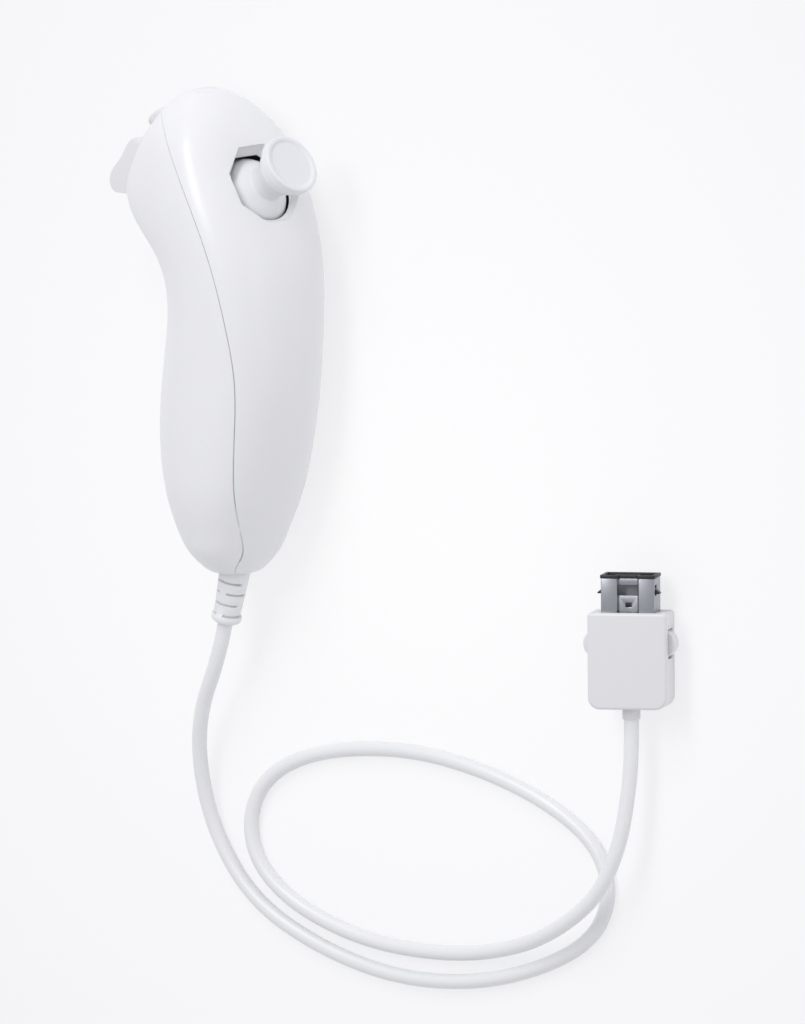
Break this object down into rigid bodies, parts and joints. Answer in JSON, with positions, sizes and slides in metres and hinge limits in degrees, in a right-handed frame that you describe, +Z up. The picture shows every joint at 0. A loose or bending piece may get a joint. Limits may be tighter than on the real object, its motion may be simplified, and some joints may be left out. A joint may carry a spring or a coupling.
{
  "type": "one-handed motion game controller",
  "caption": "Curved handset for one hand with a thumbstick on top, a trigger and a button in front, and a cord that ends in a latching plug.",
  "frame": {"origin": "on the floor under the middle of the handset's box, the cord and the plug left out", "axes": "+Z up from the floor, +Y along the handset towards its head, +X towards its thumb side; the handset lies on its flank with its cord running back along -Y"},
  "size_m": [0.1475, 0.2059, 0.039],
  "materials": {
    "casing_white": "satin moulded ABS",
    "plate_white": "satin moulded ABS",
    "button_white": "fine matt",
    "stick_grey": "satin",
    "relief_white": "soft satin PVC",
    "cord_white": "soft satin PVC",
    "plug_white": "satin moulded ABS",
    "insert_steel": "drawn and nickel plated",
    "rim_black": "matt",
    "latch_steel": "dark spring steel",
    "insulator_grey": "matt",
    "contact_brass": "gold plated",
    "board_green": "solder mask",
    "chip_black": "matt",
    "mechanism_grey": "matt moulded",
    "housing_steel": "folded sheet",
    "pad_rubber": "silicone",
    "pin_steel": "bright",
    "cable_grey": "satin"
  },
  "bodies": {
    "handset": {"top_shell": "casing_white", "bottom_shell": "casing_white", "button_bezel": "plate_white", "trigger_pin": "pin_steel", "button_holder": "mechanism_grey", "button_membrane": "pad_rubber", "button_board": "board_green", "button_ribbon": "cable_grey", "stick_housing": "housing_steel", "angle_sensor_side": "mechanism_grey", "angle_sensor_tail": "mechanism_grey", "spring_plate": "mechanism_grey", "return_spring": "pin_steel", "main_board": "board_green", "main_chip": "chip_black", "motion_sensor": "chip_black", "cable_connector": "mechanism_grey", "board_screws": "pin_steel", "shell_screws": "pin_steel", "cable_relief": "relief_white", "inner_cable": "cable_grey", "plug_front_cover": "plug_white", "plug_rear_cover": "plug_white", "plug_shield": "insert_steel", "plug_mouth_rim": "rim_black", "contact_block": "insulator_grey", "contacts": "contact_brass", "plug_collar": "plug_white", "plug_cable": "cable_grey", "cord": "cord_white"},
    "gimbal_lower": {"gimbal_lower": "mechanism_grey"},
    "gimbal_upper": {"gimbal_upper": "mechanism_grey"},
    "stick": {"stick_lever": "pin_steel", "stick_cap": "stick_grey"},
    "c_button": {"c_button": "button_white"},
    "z_trigger": {"z_trigger": "button_white"},
    "release_button_left": {"release_button_left": "plug_white"},
    "release_button_right": {"release_button_right": "plug_white"},
    "latch_arm_left": {"latch_arm_left": "latch_steel"},
    "latch_arm_right": {"latch_arm_right": "latch_steel"}
  },
  "joints": [
    {"name": "stick_tilt_across", "type": "hinge", "parent": "handset", "child": "gimbal_lower", "pos_m": [0.00901, 0.03718, 0.0205], "axis": [0.5384, -0.837, 0.0978], "range_deg": [-16, 16], "stiffness_Nm_per_rad": 0.05},
    {"name": "stick_tilt_along", "type": "hinge", "parent": "gimbal_lower", "child": "stick", "pos_m": [0.00901, 0.03718, 0.0205], "axis": [-0.2419, -0.0423, 0.9694], "range_deg": [-16, 16], "stiffness_Nm_per_rad": 0.05},
    {"name": "upper_gimbal_turn", "type": "hinge", "parent": "handset", "child": "gimbal_upper", "pos_m": [0.00901, 0.03718, 0.0205], "axis": [-0.2419, -0.0423, 0.9694], "range_deg": [-16, 16]},
    {"name": "c_button_press", "type": "slide", "parent": "handset", "child": "c_button", "axis": [0.8679, -0.4562, 0.1967], "range_m": [0, 0.0012], "stiffness_N_per_m": 800},
    {"name": "z_trigger_press", "type": "hinge", "parent": "handset", "child": "z_trigger", "pos_m": [-0.00986, 0.04594, 0.01617], "axis": [-0.2419, -0.0423, 0.9694], "range_deg": [0, 5], "stiffness_Nm_per_rad": 0.15},
    {"name": "release_press_left", "type": "slide", "parent": "handset", "child": "release_button_left", "axis": [0.9406, 0.0328, -0.3378], "range_m": [0, 0.0005], "stiffness_N_per_m": 4000},
    {"name": "release_press_right", "type": "slide", "parent": "handset", "child": "release_button_right", "axis": [-0.9406, -0.0328, 0.3378], "range_m": [0, 0.0005], "stiffness_N_per_m": 4000},
    {"name": "latch_turn_left", "type": "hinge", "parent": "handset", "child": "latch_arm_left", "pos_m": [0.10347, -0.07088, 0.00978], "axis": [-0.3376, -0.0118, -0.9412], "range_deg": [0, 2.4]},
    {"name": "latch_turn_right", "type": "hinge", "parent": "handset", "child": "latch_arm_right", "pos_m": [0.11373, -0.07052, 0.00609], "axis": [0.3376, 0.0118, 0.9412], "range_deg": [0, 2.4]}
  ],
  "couplings": [
    {"joint": "upper_gimbal_turn", "follows": "stick_tilt_along", "ratio": 1},
    {"joint": "latch_turn_left", "follows": "release_press_left", "rad_per_m": 82.645},
    {"joint": "latch_turn_right", "follows": "release_press_right", "rad_per_m": 82.645}
  ]
}
